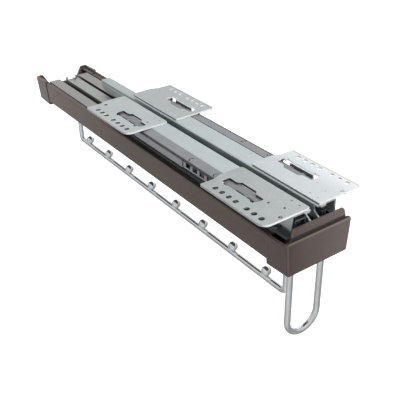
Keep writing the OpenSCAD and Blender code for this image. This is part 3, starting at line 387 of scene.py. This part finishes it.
def brown_cap():
    """Brown moulded cap: fine grain, slight flow marks, a painted highlight where it is rounded."""
    look = Look("brown_moulding", metallic=0.0, roughness=0.45)
    look.shader.inputs["Specular IOR Level"].default_value = 0.35
    look.soften(0.5 * MM)
    grain = look.noise(1500, 2)
    flow = look.noise(45, 4)
    colour = look.mix(look.span(flow, 0.3, 0.7), linear(70, 57, 54), linear(77, 64, 61))
    # Painted light: paler toward the right and toward the rear.
    colour = look.mix(paler(look, "X", CAP_PAINTED_LIGHT_X), colour, linear(104, 93, 90))
    colour = look.tint(colour, paler(look, "Y", CAP_PAINTED_LIGHT_Y), 0.5, linear(106, 100, 96))
    # Painted highlight where the surface is rounded.
    colour = look.tint(colour, look.rounds(), 0.24, linear(136, 122, 117))
    # Painted shade in the groove, the seam and the inside of the front cap.
    colour = look.shaded(colour, CAP_SHADES)
    # Painted shade on the inner faces of the right-hand walls.
    colour = look.tint(colour, inner_right(look), 0.8, CAP_PAINTED_SHADE)
    # Painted shade in corners and hollows.
    colour = look.painted_nook_shade(colour, 10 * MM, 0.55)
    look.bump(grain, 0.03 * MM, 0.6)
    look.bump(flow, 0.1 * MM, 0.2)
    return look.finish(colour, look.span(grain, 0.3, 0.7, 0.38, 0.52))


def chrome():
    """Polished chrome over drawn rod: a near mirror with faint drawing lines and finger haze."""
    look = Look("chromed_steel", metallic=1.0, roughness=0.1)
    haze = look.noise(60, 4)
    colour = look.mix(look.span(haze, 0.35, 0.7), linear(214, 218, 221), linear(232, 235, 237))
    look.bump(look.noise(420, 2, (1, 0.1, 1)), 0.004 * MM, 0.5)
    return look.finish(colour, look.span(haze, 0.35, 0.75, 0.07, 0.15))


def bearing_steel():
    """Ground steel of the balls and the piston rods, with a film of grease in patches."""
    look = Look("bearing_steel", metallic=1.0, roughness=0.22)
    haze = look.noise(240, 3)
    colour = look.mix(haze, linear(150, 156, 160), linear(196, 201, 204))
    look.bump(look.noise(1400, 2), 0.004 * MM, 0.5)
    return look.finish(colour, look.span(haze, 0.3, 0.7, 0.18, 0.32))


def plastic(name, pale, dark, shine, slots=()):
    """Moulded plastic: fine sparked grain, slight sink marks, a painted highlight along the edges, and
    dark slots painted where bands are given, painted shade.
    """
    look = Look(name, metallic=0.0, roughness=shine)
    look.soften(0.25 * MM)
    sink = look.noise(60, 3)
    colour = look.mix(look.span(sink, 0.3, 0.7), linear(*dark), linear(*pale))
    # Painted highlight along the sharp edges.
    colour = look.tint(colour, look.edges(0.4 * MM), 0.15, linear(180, 182, 184))
    # Painted shade in each slot's box.
    for bands in slots:
        colour = look.mix(look.box(bands), colour, PAINTED_SLOT_SHADE)
    # Painted shade in corners and hollows.
    colour = look.painted_nook_shade(colour, 6 * MM, 0.5)
    look.bump(look.noise(1800, 2), 0.02 * MM, 0.6)
    return look.finish(colour, look.span(sink, 0.3, 0.7, shine - 0.05, shine + 0.08))


def screw_zinc():
    """Bright zinc of screws, rivets and damper cylinders, slightly clouded."""
    look = Look("screw_zinc", metallic=0.95, roughness=0.3)
    look.soften(0.15 * MM)
    haze = look.noise(700, 3)
    colour = look.mix(haze, linear(160, 162, 158), linear(206, 208, 204))
    look.bump(look.noise(1600, 2), 0.01 * MM, 0.5)
    return look.finish(colour, look.span(haze, 0.3, 0.7, 0.24, 0.4))


def looks_by_material():
    """Looks by the name of the material that a node comes with."""
    return {
        "channel_zinc": galvanised("channel_sheet", (213, 221, 223), (193, 202, 204), 0.38, depth=0.15),
        "brown_profile": brown_profile(),
        "brown_cap": brown_cap(),
        "chrome": chrome(),
        "bearing_steel": bearing_steel(),
        "grey_plastic": plastic("grey_moulding", (127, 129, 132), (114, 116, 119), 0.46,
                                (*WING_SLOTS, WING_EDGE)),
        "dark_plastic": plastic("dark_moulding", (58, 60, 66), (48, 50, 55), 0.45),
        "screw_zinc": screw_zinc(),
    }


def looks_by_name():
    """Looks of the galvanised nodes, by how their names start. The first that fits is theirs."""
    left = {"reach": 4, "depth": 0.85, "cuts": "front", "shades": LEFT_HOLE_SHADES}
    right = {"depth": 0.3, "cuts": "all", "shades": RIGHT_PLATE_SHADES}
    return {
        # The four plates are one sheet; each is painted lighter or darker by how the light falls on it:
        # painted light and shade.
        "plate_front_right": galvanised("bright_sheet", (220, 226, 228), (200, 207, 209), 0.36,
                                        painted_light_x=PLATE_PAINTED_LIGHT_X, **right),
        "plate_front_left": galvanised("worn_and_shaded_sheet", (200, 206, 206), (168, 175, 174), 0.38, **left),
        "plate_rear_right": galvanised("far_sheet", (204, 210, 210), (182, 188, 187), 0.38, **right),
        "plate_rear_left": galvanised("plate_sheet", (214, 220, 221), (190, 196, 197), 0.36, **left),
        "carriage_tray": galvanised("tray_sheet", (183, 181, 178), (158, 156, 153), 0.42,
                                    reach=22, depth=0.72, shades=TRAY_SHADES),
        "moving_rail": galvanised("rail_sheet", (206, 212, 213), (184, 190, 191), 0.34,
                                  reach=14, depth=0.5),
        "middle_runner": galvanised("runner_sheet", (204, 214, 213), (180, 190, 189), 0.36,
                                    reach=25, depth=0.65),
    }


def dress_nodes():
    by_material = looks_by_material()
    by_name = looks_by_name()
    for name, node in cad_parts.items():
        own = next((look for start, look in by_name.items() if name.startswith(start)), None)
        for slot in node.material_slots:
            slot.material = own or by_material[slot.material.name]


def mirrored_level(world):
    """How bright the studio looks in a reflection, by direction."""
    direction = world.add("ShaderNodeTexCoord", {}, "Generated")

    def towards(aim, edge, levels):
        return world.span(world.dot(direction, aim), *edge, *levels, way="SMOOTHSTEP")

    above = world.math("ADD", towards(PANEL_AIM, PANEL_EDGE, PANEL_LEVELS), SKY_LEVEL)
    below = world.math("MAXIMUM", towards(LOW_AIM, LOW_EDGE, LOW_LEVELS),
                       towards(BACK_AIM, BACK_EDGE, BACK_LEVELS))
    sky = world.span(world.axis(direction, "Z"), *SKY_EDGE, way="SMOOTHSTEP")
    return world.math("ADD", world.math("MULTIPLY", above, sky),
                      world.math("MULTIPLY", below, world.math("SUBTRACT", 1.0, sky)))


def set_world():
    """White for the camera, a studio with dark and bright parts for mirrors, plain light otherwise."""
    studio = bpy.data.worlds.new("studio")
    bpy.context.scene.world = studio
    studio.use_nodes = True
    studio.node_tree.nodes.clear()
    world = Tree(studio.node_tree)

    def ray(kind):
        return world.add("ShaderNodeLightPath", {}, kind)

    def backdrop(colour, level):
        return world.add("ShaderNodeBackground", {"Color": colour, "Strength": level})

    mirror = world.math("MAXIMUM", ray("Is Glossy Ray"), ray("Is Transmission Ray"))
    lit = world.add("ShaderNodeMixShader", {0: mirror, 1: backdrop(AMBIENT_COLOUR, AMBIENT_LEVEL),
                                            2: backdrop(WHITE, mirrored_level(world))})
    both = world.add("ShaderNodeMixShader", {0: ray("Is Camera Ray"), 1: lit, 2: backdrop(WHITE, 1.0)})
    world.feed(studio.node_tree.nodes.new("ShaderNodeOutputWorld").inputs["Surface"], both)


def floor_look():
    """Pale grey that gives off light to the camera alone."""
    look = Look("pale_floor", metallic=0.0, roughness=FLOOR_ROUGHNESS)
    look.shader.inputs["Base Color"].default_value = FLOOR_COLOUR
    camera_ray = look.add("ShaderNodeLightPath", {}, "Is Camera Ray")
    glow = look.add("ShaderNodeEmission", {"Strength": look.math("MULTIPLY", camera_ray, FLOOR_GLOW)})
    both = look.add("ShaderNodeAddShader", {0: look.shader.outputs[0], 1: glow})
    look.feed(look.tree.nodes["Material Output"].inputs["Surface"], both)
    return look.material


def add_floor():
    """A plain pale floor that shows white where nothing shades it."""
    low = CAD_BOX[0][2] - FLOOR_DROP
    half = FLOOR_SIZE / 2
    mesh = bpy.data.meshes.new("floor")
    corners = [(-half, -half, low), (half, -half, low), (half, half, low), (-half, half, low)]
    mesh.from_pydata(corners, [], [(0, 1, 2, 3)])
    mesh.materials.append(floor_look())
    floor = bpy.data.objects.new("floor", mesh)
    floor.visible_glossy = False
    bpy.context.scene.collection.objects.link(floor)


def add_lamp(name, place, aim, size, power):
    data = bpy.data.lights.new(name, "AREA")
    data.shape = "SQUARE"
    data.size = size
    data.energy = power
    lamp = bpy.data.objects.new(name, data)
    lamp.location = place
    lamp.rotation_euler = (Vector(aim) - Vector(place)).to_track_quat("-Z", "Y").to_euler()
    lamp.visible_glossy = False
    bpy.context.scene.collection.objects.link(lamp)


def add_camera():
    data = bpy.data.cameras.new("camera")
    data.lens = LENS_MM
    data.sensor_width = SENSOR_MM
    data.clip_start = CLIP_START
    camera = bpy.data.objects.new("camera", data)
    turn = Matrix((CAMERA_RIGHT, CAMERA_UP, CAMERA_BACK)).transposed()
    camera.matrix_world = Matrix.Translation(CAMERA_PLACE) @ turn.to_4x4()
    bpy.context.scene.collection.objects.link(camera)
    bpy.context.scene.camera = camera


bpy.context.scene.view_settings.view_transform = "Standard"
dress_nodes()
set_world()
add_floor()
for lamp in LAMPS:
    add_lamp(*lamp)
add_camera()
